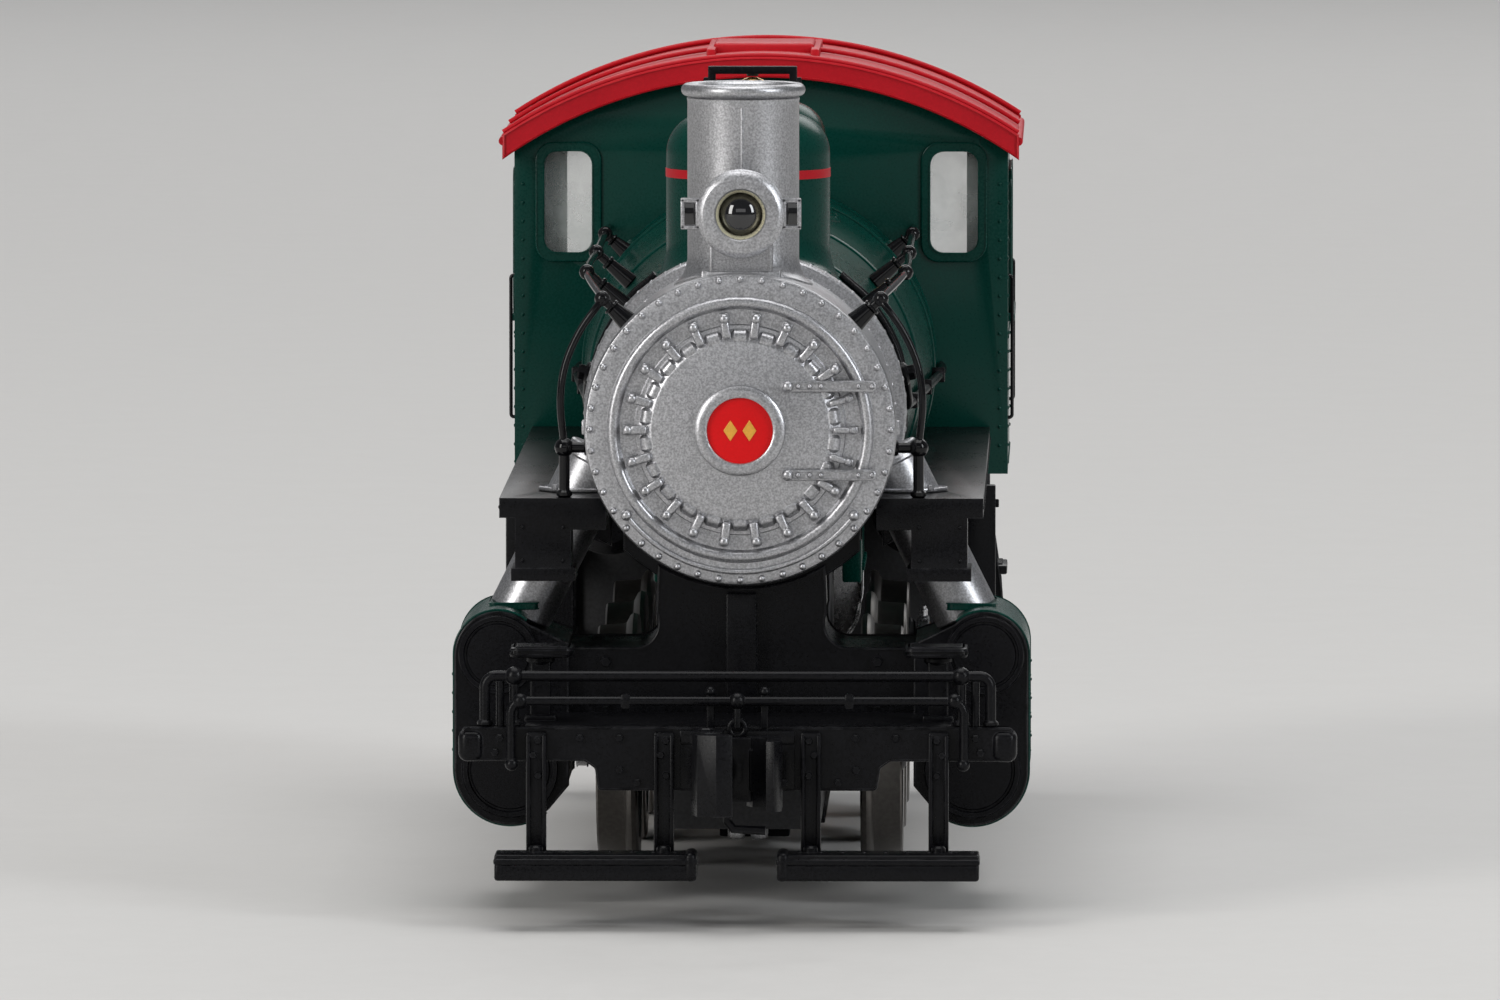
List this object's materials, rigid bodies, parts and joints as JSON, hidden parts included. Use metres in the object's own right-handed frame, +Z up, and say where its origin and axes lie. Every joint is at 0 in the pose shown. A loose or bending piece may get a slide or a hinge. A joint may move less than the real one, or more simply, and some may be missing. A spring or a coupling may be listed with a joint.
{
  "type": "model steam locomotive",
  "caption": "Small-scale six-coupled steam switching locomotive with spoked drivers, rods, worm drive, tapered boiler, cab and knuckle coupler.",
  "frame": {"origin": "on the rail-top plane and the centreline, under the main driving axle, at the middle of the flat pad under the gearbox", "axes": "-Y is forward, towards the smokebox and front coupler; +Z is up; +X is the engine's left-hand side"},
  "size_m": [0.0366, 0.1213, 0.0521],
  "materials": {
    "smokebox_silver": "metallic silver paint, fine flake, satin",
    "boiler_green": "deep blue-green paint, satin",
    "roof_red": "bright red paint, satin",
    "plate_red": "bright red enamel inside a silver ring",
    "black_moulding": "black engineering plastic, low satin",
    "wheel_black": "black wheel centre with a bright nickel tyre",
    "bright_steel": "bright plated steel",
    "frame_casting": "blackened zinc casting",
    "bell_brass": "polished brass",
    "phosphor_bronze": "springy bronze strip",
    "circuit_green": "green circuit board",
    "gear_nylon": "natural nylon",
    "clear_lens": "clear glossy moulding"
  },
  "bodies": {
    "chassis": {"frame": "frame_casting", "bottom_cover": "black_moulding", "cover_screw": "bright_steel", "pickup_plate": "phosphor_bronze", "cylinder_saddle": "black_moulding", "cylinder_jacket_left": "boiler_green", "cylinder_jacket_right": "boiler_green", "steam_pipe_left": "smokebox_silver", "steam_pipe_right": "smokebox_silver", "crosshead_guide_left": "bright_steel", "crosshead_guide_right": "bright_steel", "smokebox": "smokebox_silver", "smokebox_front": "smokebox_silver", "number_plate": "plate_red", "smokestack": "smokebox_silver", "headlight_housing": "smokebox_silver", "headlight_lens": "clear_lens", "boiler_shell": "boiler_green", "boiler_weight": "frame_casting", "circuit_board": "circuit_green", "sand_dome": "boiler_green", "steam_dome": "boiler_green", "bell": "bell_brass", "bell_bracket": "black_moulding", "handrail_left": "black_moulding", "handrail_right": "black_moulding", "running_board_left": "black_moulding", "running_board_right": "black_moulding", "cab": "boiler_green", "cab_roof": "roof_red", "cab_glazing": "clear_lens", "backhead": "black_moulding", "pilot": "black_moulding", "footboard_left": "black_moulding", "footboard_right": "black_moulding", "grab_rail": "black_moulding", "cut_lever": "black_moulding", "coupler_box": "black_moulding", "motor": "bright_steel"},
    "driver_main": {"axle_main": "bright_steel", "wheel_main_left": "wheel_black", "wheel_main_right": "wheel_black", "worm_gear": "gear_nylon"},
    "driver_front": {"axle_front": "bright_steel", "wheel_front_left": "wheel_black", "wheel_front_right": "wheel_black"},
    "driver_rear": {"axle_rear": "bright_steel", "wheel_rear_left": "wheel_black", "wheel_rear_right": "wheel_black"},
    "side_rod_left": {"side_rod_left": "bright_steel"},
    "side_rod_right": {"side_rod_right": "bright_steel"},
    "main_rod_left": {"main_rod_left": "bright_steel"},
    "main_rod_right": {"main_rod_right": "bright_steel"},
    "crosshead_left": {"crosshead_left": "bright_steel"},
    "crosshead_right": {"crosshead_right": "bright_steel"},
    "motor_rotor": {"motor_shaft": "bright_steel", "worm": "bell_brass"},
    "coupler": {"coupler_head": "black_moulding"},
    "knuckle": {"coupler_knuckle": "black_moulding"},
    "drawbar": {"drawbar": "bright_steel"}
  },
  "joints": [
    {"name": "driver_spin", "type": "hinge", "parent": "chassis", "child": "driver_main", "pos_m": [0, 0, 0.0075], "axis": [1, 0, 0], "continuous": true},
    {"name": "front_driver_spin", "type": "hinge", "parent": "chassis", "child": "driver_front", "pos_m": [0, -0.019, 0.0075], "axis": [1, 0, 0], "continuous": true},
    {"name": "rear_driver_spin", "type": "hinge", "parent": "chassis", "child": "driver_rear", "pos_m": [0, 0.019, 0.0075], "axis": [1, 0, 0], "continuous": true},
    {"name": "motor_spin", "type": "hinge", "parent": "chassis", "child": "motor_rotor", "pos_m": [0, 0, 0.0155], "axis": [0, 1, 0], "continuous": true},
    {"name": "side_rod_left_turn", "type": "hinge", "parent": "driver_main", "child": "side_rod_left", "pos_m": [0.01085, 0, 0.0111], "axis": [1, 0, 0], "continuous": true},
    {"name": "main_rod_left_turn", "type": "hinge", "parent": "driver_main", "child": "main_rod_left", "pos_m": [0.0121, 0, 0.0111], "axis": [1, 0, 0], "continuous": true},
    {"name": "side_rod_right_turn", "type": "hinge", "parent": "driver_main", "child": "side_rod_right", "pos_m": [-0.01085, -0.0036, 0.0075], "axis": [1, 0, 0], "continuous": true},
    {"name": "main_rod_right_turn", "type": "hinge", "parent": "driver_main", "child": "main_rod_right", "pos_m": [-0.0121, -0.0036, 0.0075], "axis": [1, 0, 0], "continuous": true},
    {"name": "crosshead_left_slide", "type": "slide", "parent": "chassis", "child": "crosshead_left", "axis": [0, 1, 0], "range_m": [-0.00374, 0.00346]},
    {"name": "crosshead_right_slide", "type": "slide", "parent": "chassis", "child": "crosshead_right", "axis": [0, 1, 0], "range_m": [0, 0.0072]},
    {"name": "coupler_swing", "type": "hinge", "parent": "chassis", "child": "coupler", "pos_m": [0, -0.057, 0.0094], "axis": [0, 0, 1], "range_deg": [-12, 12]},
    {"name": "knuckle_open", "type": "hinge", "parent": "coupler", "child": "knuckle", "pos_m": [-0.0019, -0.0661, 0.0094], "axis": [0, 0, -1], "range_deg": [0, 28]},
    {"name": "drawbar_swing", "type": "hinge", "parent": "chassis", "child": "drawbar", "pos_m": [0, 0.032, 0.0076], "axis": [0, 0, 1], "range_deg": [-15, 15]}
  ],
  "couplings": [
    {"joint": "front_driver_spin", "follows": "driver_spin", "ratio": 1},
    {"joint": "rear_driver_spin", "follows": "driver_spin", "ratio": 1},
    {"joint": "motor_spin", "follows": "driver_spin", "ratio": 28},
    {"joint": "side_rod_left_turn", "follows": "driver_spin", "ratio": -1},
    {"joint": "main_rod_left_turn", "follows": "driver_spin", "ratio": -1},
    {"joint": "side_rod_right_turn", "follows": "driver_spin", "ratio": -1},
    {"joint": "main_rod_right_turn", "follows": "driver_spin", "ratio": -1}
  ]
}
